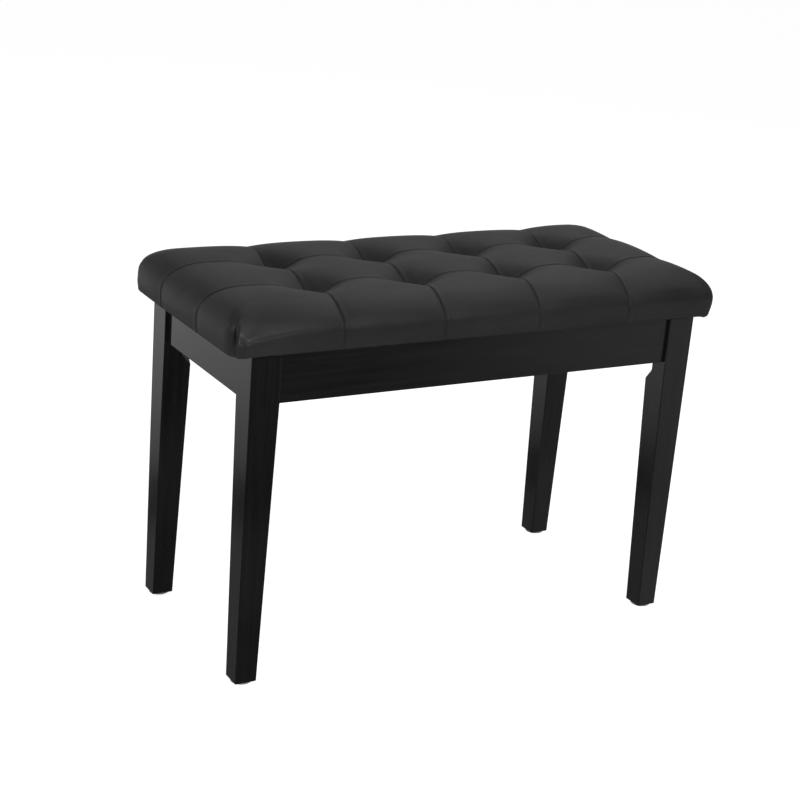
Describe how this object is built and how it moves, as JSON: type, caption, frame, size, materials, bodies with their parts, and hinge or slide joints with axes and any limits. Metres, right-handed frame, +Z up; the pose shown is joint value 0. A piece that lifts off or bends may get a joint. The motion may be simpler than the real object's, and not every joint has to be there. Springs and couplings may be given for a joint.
{
  "type": "piano bench",
  "caption": "Duet piano bench with tapered legs, an apron box that stores sheet music, and a tufted lid that tips up on rear hinges and slotted stays",
  "frame": {"origin": "centre of the bench on the floor, at the bottom of its bounding box", "axes": "+X along the long side, +Y towards the hinges at the back, +Z up"},
  "size_m": [0.75, 0.34, 0.5],
  "materials": {
    "lacquered_wood": "black piano lacquer over solid wood, satin to gloss, faint grain",
    "faux_leather": "charcoal black synthetic leather, fine pebble grain, satin",
    "foam": "open-cell polyurethane foam",
    "plywood": "raw birch plywood",
    "hardboard": "thin black-stained hardboard panel",
    "corner_block_wood": "raw sawn softwood",
    "dust_cover": "black spun-bonded lining cloth",
    "staple_steel": "bright steel wire",
    "zinc_steel": "bright zinc plated steel",
    "stay_steel": "zinc plated pressed steel",
    "black_steel": "black painted pressed steel",
    "bumper_rubber": "self-adhesive rubber bumper",
    "felt": "dense grey felt disc"
  },
  "bodies": {
    "box": {"leg_rear_right": "lacquered_wood", "leg_rear_left": "lacquered_wood", "leg_front_right": "lacquered_wood", "leg_front_left": "lacquered_wood", "apron_front": "lacquered_wood", "apron_rear": "lacquered_wood", "apron_right": "lacquered_wood", "apron_left": "lacquered_wood", "storage_floor": "hardboard", "corner_block_rear_right": "corner_block_wood", "corner_block_rear_left": "corner_block_wood", "corner_block_front_right": "corner_block_wood", "corner_block_front_left": "corner_block_wood", "foot_pad_rear_right": "felt", "foot_pad_rear_left": "felt", "foot_pad_front_right": "felt", "foot_pad_front_left": "felt", "lid_bumpers": "bumper_rubber", "hanger_bolts": "zinc_steel", "bolt_washers": "zinc_steel", "wing_nuts": "zinc_steel", "corner_block_screws": "zinc_steel", "hinge_box_leaf_right": "black_steel", "hinge_pin_right": "zinc_steel", "stay_track_right": "stay_steel", "hinge_box_leaf_left": "black_steel", "hinge_pin_left": "zinc_steel", "stay_track_left": "stay_steel", "hinge_box_screws": "zinc_steel", "stay_track_screws": "zinc_steel"},
    "lid": {"lid_board": "plywood", "cushion_foam": "foam", "leather_cover": "faux_leather", "dust_cover": "dust_cover", "cover_staples": "staple_steel", "hinge_lid_leaf_right": "black_steel", "stay_bracket_right": "stay_steel", "stay_pivot_right": "zinc_steel", "hinge_lid_leaf_left": "black_steel", "stay_bracket_left": "stay_steel", "stay_pivot_left": "zinc_steel", "hinge_lid_screws": "zinc_steel", "stay_bracket_screws": "zinc_steel"},
    "stay_right": {"stay_arm_right": "stay_steel", "stay_stud_right": "zinc_steel"},
    "stay_left": {"stay_arm_left": "stay_steel", "stay_stud_left": "zinc_steel"}
  },
  "joints": [
    {"name": "lid_hinge", "type": "hinge", "parent": "box", "child": "lid", "pos_m": [0, 0.1555, 0.4445], "axis": [-1, 0, 0], "range_deg": [0, 80]},
    {"name": "stay_right_pivot", "type": "hinge", "parent": "lid", "child": "stay_right", "pos_m": [0.3145, 0.0875, 0.4375], "axis": [1, 0, 0], "range_deg": [0, 118]},
    {"name": "stay_left_pivot", "type": "hinge", "parent": "lid", "child": "stay_left", "pos_m": [-0.3145, 0.0875, 0.4375], "axis": [1, 0, 0], "range_deg": [0, 118]}
  ],
  "couplings": [
    {"joint": "stay_right_pivot", "follows": "lid_hinge", "ratio": 1.47},
    {"joint": "stay_left_pivot", "follows": "lid_hinge", "ratio": 1.47}
  ]
}
